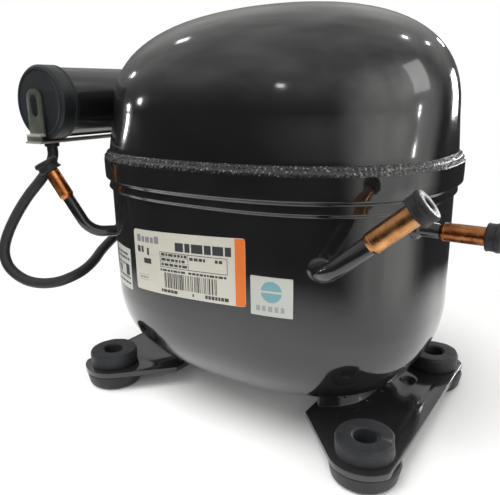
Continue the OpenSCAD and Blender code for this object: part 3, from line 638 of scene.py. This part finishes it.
def foot(name, i, j, torn=False):
    """A stepped rubber grommet, gripping its plate in a groove; the top is a little uneven or torn."""
    x, y = i * HOLE_DX / 2, j * HOLE_DY / 2
    low, top = PLATE_Z - PLATE_T, FOOT_H
    line = rounded([(BORE_R, 0.0, 0), (14.4, 0.0, 1.4), (15.6, 1.6, 1.5), (17, low - 0.9, 0.6),
                    (16.2, low - 0.02, 0.4), (GROOVE_R, low - 0.02, 0), (GROOVE_R, PLATE_Z + 0.02, 0),
                    (13.4, PLATE_Z + 0.02, 0.3), (13.7, PLATE_Z + 1.2, 0.8), (14, top - 1.6, 1.0),
                    (13.2, top, 0.9), (6.6, top, 0.6), (BORE_R, top - 0.8, 0.5), (BORE_R, 10, 0)], 0.6, 4)
    verts, faces = lathe(line, 120, (x, y, 0))
    rng = random.Random(11 + i + 3 * j)
    phase = rng.random() * 6
    out = []
    for vx, vy, z in verts:
        dx, dy = vx - x, vy - y
        r, t = math.hypot(dx, dy), math.atan2(dy, dx)
        if z > 14 and r > 7:
            z += 0.12 * math.sin(3 * t + phase) + 0.06 * math.sin(11 * t)
            if torn:
                bite = math.exp(-((t - 0.35) / 0.22) ** 2)
                shrink = 1 - 2.2 * bite * max(0, (r - 9.5) / 4.5) / r
                vx, vy = x + dx * shrink, y + dy * shrink
                z -= 1.5 * bite * max(0, (r - 9) / 5)
        out.append((vx, vy, z))
    piece(name + "_body", out, faces, FOOT_RUBBER, "shell", [name], 50)


foot("foot_front_left", -1, -1)
foot("foot_front_right", 1, -1, True)
foot("foot_back_left", -1, 1)
foot("foot_back_right", 1, 1)


# ---- tube stubs ----
TUBE_T, TUBE_IN_SLEEVE = 0.9, 8     # wall, and how deep the tube sits in its connector


def stub(name, path, bend, ro, sleeve, sleeve_id, sleeve_len, plug_d, mat, flange, body):
    """A painted tube, its copper connector with the brazed ring, and the rubber plug with its face ring."""
    line = fillet_path(path, bend)
    d = (line[-1] - line[-2]).normalized()
    end = line[-1]
    cut = line[:-1] + [end - d * (sleeve_len - TUBE_IN_SLEEVE)]
    verts, faces = tube(cut, ro, ro - TUBE_T)
    piece(name + "_tube_body", verts, faces, TUBE_BLACK, "shell", [name + "_tube"], 50)

    r, ri, root = sleeve / 2, sleeve_id / 2, -sleeve_len
    neck = rounded([(ri, 0, 0), (ri, root, 0), (r - 0.5, root, 0.4), (r, root + 1.0, 0.8), (r, -6, 2),
                    (r, -0.5, 0.3), (r - 0.3, 0, 0.2)], 0.4, 4)
    verts, faces = lathe(neck, 64, end, d)
    piece(name + "_connector_body", verts, faces, mat, "shell", [name + "_connector"], 50)

    ring = rounded([(ro - 0.5, root - 1.6, 0), (ro + 0.05, root - 1.4), (r - 0.1, root - 0.2),
                    (r + 0.12, root + 0.5), (r - 0.15, root + 0.9), (ro - 0.5, root + 0.8, 0)], 0.3, 3)
    verts, faces = lathe(ring, 48, end, d)
    piece(name + "_braze_ring", verts, faces, mat, "shell", [], 60)

    p = plug_d / 2
    hole = 0.34 * p
    cap = rounded([(0.01, 2.2, 0), (hole, 2.2, 0.2), (hole, 5.9, 0.3), (hole + 0.5, 6.3, 0.3),
                   (p - 0.6, 6.3, 0.5), (p, 5.6, 0.6), (p, 4.2, 0.8), (p - flange, 3.4, 0.5),
                   (p - flange, 1.2, 0.5), (p - 0.15, 0.6, 0.3), (p - 0.5, 0.02, 0.3), (ri - 0.1, 0.02, 0),
                   (ri - 0.08, -7.4, 0.5), (ri - 0.8, -8, 0.4), (0.01, -8, 0)], 0.4, 4)
    verts, faces = lathe(cap, 72, end, d)
    piece(name + "_plug_body", verts, faces, PLUG_RUBBER, body, [name + "_plug"], 50)

    face = rounded([(hole + 1.1, 6.1, 0), (hole + 1.15, 6.42, 0.1), (p - 0.75, 6.42, 0.1), (p - 0.7, 6.1, 0)],
                   0.1, 2)
    verts, faces = lathe(face, 72, end, d)
    piece(name + "_plug_face", verts, faces, FOIL, body, [], 60)


stub("suction", SUCTION, 12, 4.0, 9.4, 8.2, 20, 14, COPPER_SUCTION, 0.4, "suction_cap")
stub("discharge", DISCHARGE, 12, 3.2, 8, 6.5, 17.5, 12.4, COPPER_DISCHARGE, 0.4, "discharge_cap")
stub("process", PROCESS, 14, 3.2, 8, 6.5, 16, 13.5, COPPER_PROCESS, 0.9, "process_cap")


def root_collar(name, path, r):
    """Brazed fillet where a tube leaves the shell."""
    d = (Vector(path[1]) - Vector(path[0])).normalized()
    at = Vector(path[0])
    a, b = SHELL_A - NECK_IN, SHELL_B - NECK_IN
    n = plan_power(at.z)
    while abs(at.x / a) ** n + abs((at.y - SHELL_Y) / b) ** n < 1:
        at = at + d * 0.1
    fillet = rounded([(r - 0.5, -2.5, 0), (r + 2.4, -2.2, 0.6), (r + 1.4, 0.6, 0.8), (r + 0.4, 1.7, 0.6),
                      (r - 0.5, 2.0, 0)], 0.5, 4)
    verts, faces = lathe(fillet, 56, at, d)
    piece(name + "_root_braze", verts, faces, TUBE_BLACK, "shell", [], 60)


root_collar("suction", SUCTION, 4.0)
root_collar("discharge", DISCHARGE, 3.2)
root_collar("process", PROCESS, 3.2)


# ---- labels ----
WALL = NECK_IN                      # inset of the wall the labels lie on
ARC_STEPS, ARC_Z = 2000, 90         # steps round the wall, and the height where its length is measured
SHEET_OUT, SHEET_T = 0.26, 0.24     # a label's face in front of the wall, and its thickness
PRINT_OUT, PRINT_T, STRIPE_OUT = 0.285, 0.06, 0.29
PLAIN = [1.0, 0.0]
LEAN = list(PLAIN)                  # width and rise of the label being laid down


def arc_table():
    """Length of the wall's outline from angle 0 to each step."""
    arc = [0.0]
    for k in range(ARC_STEPS):
        p, q = (Vector(oval(WALL, ARC_Z, 2 * math.pi * (k + d) / ARC_STEPS)) for d in (0, 1))
        arc.append(arc[-1] + (q - p).length)
    return arc


ARC = arc_table()


def arc_to(degrees):
    """Length of the wall's outline from angle 0 to an angle."""
    return ARC[int(round((degrees % 360) / 360 * ARC_STEPS))]


def angle_at(start_deg, distance):
    """The oval's angle that far along the wall from a start angle."""
    want = (arc_to(start_deg) + distance) % ARC[-1]
    lo, hi = 0, ARC_STEPS
    while hi - lo > 1:
        mid = (lo + hi) // 2
        lo, hi = (mid, hi) if ARC[mid] <= want else (lo, mid)
    return 2 * math.pi * (lo + (want - ARC[lo]) / (ARC[hi] - ARC[lo])) / ARC_STEPS


def patch(verts, faces, start, u0, u1, z0, z1, out, thick=PRINT_T, corner=0.0):
    """A thin area on the wall, u along it from the start angle and z up; corner rounds its corners."""
    cols = max(2, int(abs(u1 - u0) / 1.5) + 2)
    base = len(verts)
    if corner > 0:
        rim = []
        for centre, quarter in ((u1 - corner, 0), (u0 + corner, 1), (u0 + corner, 2), (u1 - corner, 3)):
            rim += [centre + corner * math.cos(math.pi / 2 * (quarter + k / 5)) for k in range(6)]
        us = sorted({round(u, 4) for u in rim} | {u0 + (u1 - u0) * k / cols for k in range(cols + 1)})
        lines = []
        for u in us:
            edge = 0.0
            for side, c in ((u0, u0 + corner), (u1, u1 - corner)):
                if abs(u - side) < corner:
                    edge = corner - math.sqrt(max(0, corner ** 2 - (u - c) ** 2))
            lines.append((u, z0 + edge, z1 - edge))
    else:
        lines = [(u0 + (u1 - u0) * k / cols, z0, z1) for k in range(cols + 1)]
    for u, lo, hi in lines:
        t = angle_at(start, u)
        up = LEAN[1] * (u / LEAN[0] - 0.5)
        lo, hi = lo + up, hi + up
        for inset in (WALL - out, WALL - out + thick):
            verts += [oval(inset, lo, t), oval(inset, hi, t)]
    n = len(lines)
    for k in range(n - 1):
        a, b = base + 4 * k, base + 4 * (k + 1)
        faces += [(a, b, b + 1, a + 1), (a + 2, a + 3, b + 3, b + 2),
                  (a, a + 2, b + 2, b), (a + 1, b + 1, b + 3, a + 3)]
    e = base + 4 * (n - 1)
    faces += [(base, base + 1, base + 3, base + 2), (e, e + 2, e + 3, e + 1)]


def sheet(node, mat, start, u0, u1, z0, z1, corner):
    """A label's paper, standing in for its CAD node."""
    verts, faces = [], []
    patch(verts, faces, start, u0, u1, z0, z1, SHEET_OUT, SHEET_T, corner)
    piece(node + "_sheet", verts, faces, mat, "shell", [node], 30)


def printed(name, mat, start, areas, out=PRINT_OUT):
    """Printed areas of one colour on a label."""
    verts, faces = [], []
    for u0, u1, z0, z1 in areas:
        patch(verts, faces, start, u0, u1, z0, z1, out)
    piece(name, verts, faces, mat, "shell", [], 30)


def frame_lines(u0, u1, z0, z1, line):
    """The four sides of a ruled box."""
    return [(u0, u1, z0, z0 + line), (u0, u1, z1 - line, z1),
            (u0, u0 + line, z0, z1), (u1 - line, u1, z0, z1)]


def bars(u, z0, z1, widths, gap):
    """Solid bars side by side."""
    out = []
    for w in widths:
        out.append((u, u + w, z0, z1))
        u += w + gap
    return out


def marks(u0, u1, z, height, rng, word, gap):
    """A row of plain dashes where a line of print would be; word is the range of their widths."""
    out, u = [], u0
    while u < u1 - word[0]:
        w = min(rng.uniform(*word), u1 - u)
        out.append((u, u + w, z, z + height))
        u += w + gap
    return out


def rating_label():
    """Laid on a little crooked: bars, a ruled box and stripes stand in for every word and mark."""
    start, end, z0, z1 = -116.6, -73.2, 73.3, 105.9
    width = arc_to(end) - arc_to(start)
    LEAN[:] = [width, 4.8]
    sheet("rating_label", PAPER, start, 0, width, z0, z1, 1.6)
    printed("label_stripe", ORANGE, start, [(width - 5.4, width - 0.15, z0 + 0.2, z1 - 0.2)], STRIPE_OUT)

    rng = random.Random(21)
    grey = []
    u = 3.0
    for w in (3.2, 2.4, 3.0, 2.4, 3.2):
        grey.append((u, u + w, z1 - 6.4, z1 - 3.4 + 0.8 * (w > 3)))
        u += w + 0.8
    black = bars(width - 41, z1 - 9.0, z1 - 4.6, (5.4, 3.2, 7.0, 4.0, 6.2, 3.4), 0.9)
    black += [(3, 5.4, z1 - 12, z1 - 8.6), (6.4, 8.2, z1 - 12, z1 - 8.6), (11, 12.6, z1 - 13, z1 - 9.2),
              (8, 14, z1 - 17.6, z1 - 14.8)]

    left, right, low, high = width - 52, width - 9.5, z0 + 14.6, z0 + 22.6
    line = 0.3
    black += frame_lines(left, right, low, high, line)
    black.append((left + 19, left + 19 + line, low, high))
    for row in range(3):
        z = low + 0.9 + 2.55 * row
        black += marks(left + 1, left + 18.4, z, 1.35, rng, (1.2, 3.6), 0.6)
        if row < 2:
            black.append((left, left + 19, z + 1.95, z + 2.1))
    black += marks(left + 20, left + 31, high - 2.8, 1.5, rng, (1.2, 2.6), 0.6)
    black += marks(right - 7, right - 1.5, high - 2.8, 1.5, rng, (1.2, 2.6), 0.6)
    black += marks(left, left + 17, low - 2.0, 1.1, rng, (1.0, 3.0), 0.5)
    black += marks(left + 19, right, low - 2.0, 1.1, rng, (1.0, 3.0), 0.5)

    u = left + 2.5
    while u < width - 16:
        w = rng.choice((0.3, 0.45, 0.45, 0.8))
        black.append((u, u + w, z0 + 3.9, z0 + 11.9))
        u += w + rng.choice((0.35, 0.5, 0.9))
    black += marks(left, left + 12, z0 + 1.4, 1.6, rng, (1.2, 2.4), 0.4)
    black += marks(left + 21, left + 23, z0 + 1.4, 1.4, rng, (1.0, 1.4), 0.4)
    black += marks(width - 23, width - 9, z0 + 1.4, 1.8, rng, (1.2, 2.4), 0.4)
    grey += [(3, 11, z0 + 8.6, z0 + 8.8), (3, 11, z0 + 5.6, z0 + 5.8), (3, 3.2, z0 + 5.6, z0 + 8.8),
             (10.8, 11, z0 + 5.6, z0 + 8.8)]
    grey += marks(4.2, 10, z0 + 6.6, 1.1, rng, (1, 2), 0.5)
    printed("label_print_black", INK, start, black)
    printed("label_print_grey", INK_GREY, start, grey)
    LEAN[:] = PLAIN


def square_sticker():
    """Pale sticker with a plain disc, left open across its middle, and a row of grey bars."""
    start, end = -72, -60
    width = arc_to(end) - arc_to(start)
    sheet("square_sticker", STICKER, start, 0.3, width - 0.2, 73.2, 91.8, 0.5)
    c, zc, r = width / 2, 84.8, 5.0
    disc = []
    for k in range(-10, 10):
        z = r * (k + 0.5) / 10
        half = math.sqrt(r * r - z * z)
        if abs(z) > 0.6:
            disc.append((c - half, c + half, zc + z - r / 20, zc + z + r / 20))
    printed("sticker_symbol", BLUE, start, disc)
    rng = random.Random(4)
    printed("sticker_bars", SOFT_INK, start, marks(3, width - 3, 75.4, 2.6, rng, (1.6, 2.8), 1.1))


def side_label():
    """White label round the corner: rows of dashes and three solid blocks."""
    start, end = -132, -120.2
    width = arc_to(end) - arc_to(start)
    sheet("side_label", SIDE_PAPER, start, 0, width, 67.6, 90.7, 0.5)
    rng = random.Random(9)
    rows = []
    for z, h in ((86.6, 1.2), (84, 1.2), (80.6, 0.9), (73.4, 1.1), (70.2, 1.1)):
        rows += marks(1.5, width - 1.5, z, h, rng, (1.5, 5), 0.8)
    rows += [(2, 3.2, 75.4, 79.6), (4, 6.4, 75.4, 79.6), (width - 6.5, width - 2.2, 75.2, 81.4)]
    printed("side_label_print", INK, start, rows)


rating_label()
square_sticker()
side_label()


# ---- capacitor ----
def capacitor():
    """The can, its rubber end boot and the short spout where the lead leaves the boot."""
    at, along = (CAP_X, CAP_Y0, CAP_Z), (0, 1, 0)
    r, end = CAP_R, CAP_LEN
    can = rounded([(0.01, 6, 0), (r, 6, 0), (r, end - 1.2, 1.0), (r - 1.4, end, 0.8), (r - 3, end - 0.6, 0.5),
                   (r - 5, end - 0.6, 0.6), (0.01, end - 0.8, 0)], 0.5, 5)
    verts, faces = lathe(can, 160, at, along)
    piece("capacitor_can_body", verts, faces, CAN, "shell", ["capacitor_can"], 40)

    r, end = BOOT_R, BOOT_LEN
    boot = rounded([(0.01, 0.3, 0), (17.6, 0.3, 0.5), (18.8, 0.0, 0.6), (r - 1.4, 0.05, 1.0), (r, 1.6, 1.2),
                    (r, end - 3.2, 0.4), (r - 0.4, end - 2.9, 0.2), (r - 0.4, end - 2.2, 0.2),
                    (r, end - 1.9, 0.3), (r, end - 0.6, 0.4), (r - 0.5, end, 0.3), (CAP_R + 0.05, end, 0),
                    (CAP_R + 0.05, 2, 0), (0.01, 2, 0)], 0.4, 5)
    verts, faces = lathe(boot, 180, at, along)
    piece("capacitor_boot_body", verts, faces, BOOT_RUBBER, "shell", ["capacitor_boot"], 40)

    bore = LEAD_D / 2 + 0.02
    spout = rounded([(bore, 0.3, 0), (4.1, 0.0, 0.4), (4.3, 1.2, 0.6), (4.3, 5.5, 0), (bore, 5.5, 0)], 0.4, 4)
    verts, faces = lathe(spout, 48, (CAP_X, SPOUT_Y, SPOUT_Z))
    piece("capacitor_boot_spout", verts, faces, BOOT_RUBBER, "shell", [], 50)


capacitor()
# the bracket's zinc carries painted highlights on its folded foot and on the strap under the can
softened("capacitor_bracket", "shell", ZINC_PAINTED_HIGHLIGHTS, 0.35, 3)


# ---- capacitor lead ----
def catmull(points, per):
    """A smooth line through the points, with so many steps from one to the next."""
    pts = [Vector(p) for p in points]
    ext = [pts[0] * 2 - pts[1]] + pts + [pts[-1] * 2 - pts[-2]]
    out = []
    for a, b, c, d in zip(ext, ext[1:], ext[2:], ext[3:]):
        for k in range(per):
            s = k / per
            curve = (2 * a - 5 * b + 4 * c - d) * s ** 2 + (3 * b - a - 3 * c + d) * s ** 3
            out.append(0.5 * ((2 * b) + (c - a) * s + curve))
    out.append(pts[-1])
    return out


def capacitor_lead():
    """The two-core lead from the boot's spout, hanging below the can, to the terminal cover."""
    n = 28
    line = catmull(LEAD, 8)
    rings = sweep(line, LEAD_D / 2, n, Vector((1, 0, 0)))
    verts = [v for r in rings for v in r]
    faces = grid_faces(len(rings), n) + end_caps(len(rings), n)
    ob = piece("capacitor_lead_body", verts, faces, LEAD_RUBBER, "shell", ["capacitor_lead"], 50)


capacitor_lead()

# ---- terminal gear and internals: CAD shapes with softened edges ----
softened("terminal_fence", "shell", PLATE_BLACK, 0.3, 2)
softened("terminal_cover", "shell", COVER, 1.2, 4)
softened("ground_screw", "shell", ZINC_BRIGHT, 0.3, 2)
softened("bracket_screw", "shell", ZINC_BRIGHT, 0.4, 3)
softened("relay_case", "shell", BAKELITE, 0.6, 3)
softened("overload_protector", "shell", COVER, 0.5, 3)
softened("crankcase", "pump", CAST, 0.8, 3)
softened("cylinder_head", "pump", ALLOY, 0.8, 3)
softened("suction_muffler", "pump", CREAM, 1.0, 3)
softened("connecting_rod", "rod", ALLOY, 0.5, 3)
softened("head_bolts", "pump", ZINC_BRIGHT, 0.3, 2)
softened("stator_bolts", "pump", ZINC_BRIGHT, 0.3, 2)

NODE_LOOKS = {
    "cover_bail": WIRE, "terminal_cup": GREY_STEEL, "terminal_glass": GLASS_SEAL, "terminal_pins": GREY_STEEL,
    "relay_coil": COIL, "relay_plunger": STEEL, "crankshaft": STEEL, "rotor": STACK, "stator_core": STACK,
    "stator_windings": COIL, "piston": STEEL, "wrist_pin": STEEL, "valve_plate": STEEL, "gaskets": GASKET,
    "discharge_loop": COPPER_DISCHARGE, "oil_pickup": GREY_STEEL, "thrust_washer": BEARING,
    "suspension_springs": WIRE, "spring_studs": GREY_STEEL, "spring_caps": CREAM, "cluster_block": CREAM}
for node_name, look in NODE_LOOKS.items():
    node = frame["nodes"][node_name]
    node = bpy.data.objects[node] if isinstance(node, str) else node
    node.data.materials.clear()
    node.data.materials.append(look)


# ---- floor and light ----
FLOOR_R, FLOOR_TOP, FLOOR_LOW = 560, -0.2, -0.6     # in millimetres
FLOOR_SOLID, FLOOR_GONE = 0.17, 0.34                # where the floor starts and ends to fade, in metres


def floor():
    """A round pale floor whose edge melts into the white backdrop."""
    section = [(0.5, FLOOR_TOP), (FLOOR_R, FLOOR_TOP), (FLOOR_R, FLOOR_LOW), (0.5, FLOOR_LOW)]
    verts, faces = lathe(section, 96)
    me = bpy.data.meshes.new("floor")
    me.from_pydata([tuple(c * MM for c in v) for v in verts], [], faces)
    ob = bpy.data.objects.new("floor", me)
    bpy.context.scene.collection.objects.link(ob)
    m = Mat("floor_pale", Base_Color=(0.90, 0.90, 0.90, 1), Roughness=0.8, Specular_IOR_Level=0.1)
    far = m.tree.nodes.new("ShaderNodeVectorMath")
    far.operation = "LENGTH"
    m.link(m.coord, far.inputs[0])
    fade = m.tree.nodes.new("ShaderNodeMapRange")
    fade.interpolation_type = "SMOOTHSTEP"
    set_range(fade, (FLOOR_SOLID, FLOOR_GONE), (1.0, 0.0))
    m.link(far.outputs["Value"], fade.inputs["Value"])
    m.link(fade.outputs["Result"], m.bsdf.inputs["Alpha"])
    me.materials.append(m.mat)


def lamp(name, at, look_at, size, power, glossy=True):
    """A white rectangular lamp; without glossy it does not show in reflections."""
    data = bpy.data.lights.new(name, "AREA")
    data.shape, data.size, data.size_y = "RECTANGLE", size[0], size[1]
    data.energy = power
    ob = bpy.data.objects.new(name, data)
    ob.location = at
    ob.rotation_euler = (Vector(look_at) - Vector(at)).to_track_quat("-Z", "Y").to_euler()
    ob.visible_glossy = glossy
    bpy.context.scene.collection.objects.link(ob)


# The room's brightness straight down, straight up, and between them as (share of the way up, brightness).
STRAIGHT_DOWN, STRAIGHT_UP = 0.04, 0.72
BETWEEN = ((0.30, 0.04), (0.47, 0.03), (0.52, 0.05), (0.60, 0.20), (0.70, 0.46), (0.85, 0.66))


def world():
    """White to the camera; to everything else a grey workshop: dim walls, brighter ceiling and right side."""
    studio = bpy.data.worlds.new("studio")
    bpy.context.scene.world = studio
    studio.use_nodes = True
    tree = studio.node_tree
    link = tree.links.new

    def node(kind, **inputs):
        n = tree.nodes.new(kind)
        for key, value in inputs.items():
            n.inputs[key].default_value = value
        return n

    def math_node(operation, a, b):
        n = node("ShaderNodeMath")
        n.operation = operation
        link(a, n.inputs[0])
        link(b, n.inputs[1])
        return n.outputs["Value"]

    coord = node("ShaderNodeTexCoord").outputs["Generated"]
    split = node("ShaderNodeSeparateXYZ")
    link(coord, split.inputs["Vector"])

    height = node("ShaderNodeMapRange")
    set_range(height, (-1.0, 1.0), (0.0, 1.0))
    link(split.outputs["Z"], height.inputs["Value"])
    ramp = node("ShaderNodeValToRGB")
    link(height.outputs["Result"], ramp.inputs["Fac"])
    stops = ramp.color_ramp.elements
    stops[0].position, stops[0].color = 0.0, (STRAIGHT_DOWN, STRAIGHT_DOWN, STRAIGHT_DOWN, 1)
    stops[1].position, stops[1].color = 1.0, (STRAIGHT_UP, STRAIGHT_UP, STRAIGHT_UP, 1)
    for position, grey in BETWEEN:
        stops.new(position).color = (grey, grey, grey, 1)

    side = node("ShaderNodeMapRange")
    side.interpolation_type = "SMOOTHSTEP"
    set_range(side, (0.58, 1.0), (0.0, 1.4))
    link(split.outputs["X"], side.inputs["Value"])

    grain = node("ShaderNodeTexNoise", Scale=2.2, Detail=3.0)
    link(coord, grain.inputs["Vector"])
    patches = node("ShaderNodeMapRange")
    set_range(patches, (0.3, 0.7), (0.6, 1.3))
    link(grain.outputs["Fac"], patches.inputs["Value"])

    total = math_node("ADD", ramp.outputs["Color"], side.outputs["Result"])
    room = tree.nodes["Background"]
    room.inputs["Color"].default_value = (1.0, 0.99, 0.97, 1)
    link(math_node("MULTIPLY", total, patches.outputs["Result"]), room.inputs["Strength"])

    white = node("ShaderNodeBackground", Color=(1, 1, 1, 1), Strength=1.0)
    path = node("ShaderNodeLightPath")
    mix = node("ShaderNodeMixShader")
    link(path.outputs["Is Camera Ray"], mix.inputs["Fac"])
    link(room.outputs["Background"], mix.inputs[1])
    link(white.outputs["Background"], mix.inputs[2])
    link(mix.outputs["Shader"], tree.nodes["World Output"].inputs["Surface"])


floor()
world()
bpy.context.scene.view_settings.view_transform = "Standard"
CENTRE = (0, 0, 0.1)
lamp("key_top", (-0.3, -0.7, 1.5), CENTRE, (1.2, 1.2), 24, glossy=False)
lamp("front_fill", (0.3, -1.5, 0.8), CENTRE, (1.2, 0.8), 4, glossy=False)
lamp("left_fill", (-1.4, -0.4, 0.7), CENTRE, (0.8, 0.8), 2.5, glossy=False)
lamp("right_band", (0.55, 1.7, 0.30), (0.09, 0, 0.17), (0.30, 0.42), 10)
lamp("right_soft", (1.6, 0.6, 0.9), CENTRE, (0.6, 0.8), 3.2)
SPOTS = (((-1.53, 0.23, 1.6), 0.16), ((-2.2, 0.1, 0.87), 0.12), ((-2.1, -0.7, 0.36), 0.12),
         ((-2.2, -0.25, 0.24), 0.08), ((0.28, -2.0, 0.97), 0.14), ((0.7, 1.07, 1.6), 0.10),
         ((0.0, 2.0, 0.75), 0.10), ((0.75, 1.75, 1.4), 0.08), ((2.1, 0.65, 0.27), 0.08))
for k, (at, size) in enumerate(SPOTS):
    lamp("spot_%d" % k, at, CENTRE, (size, size), 0.7)
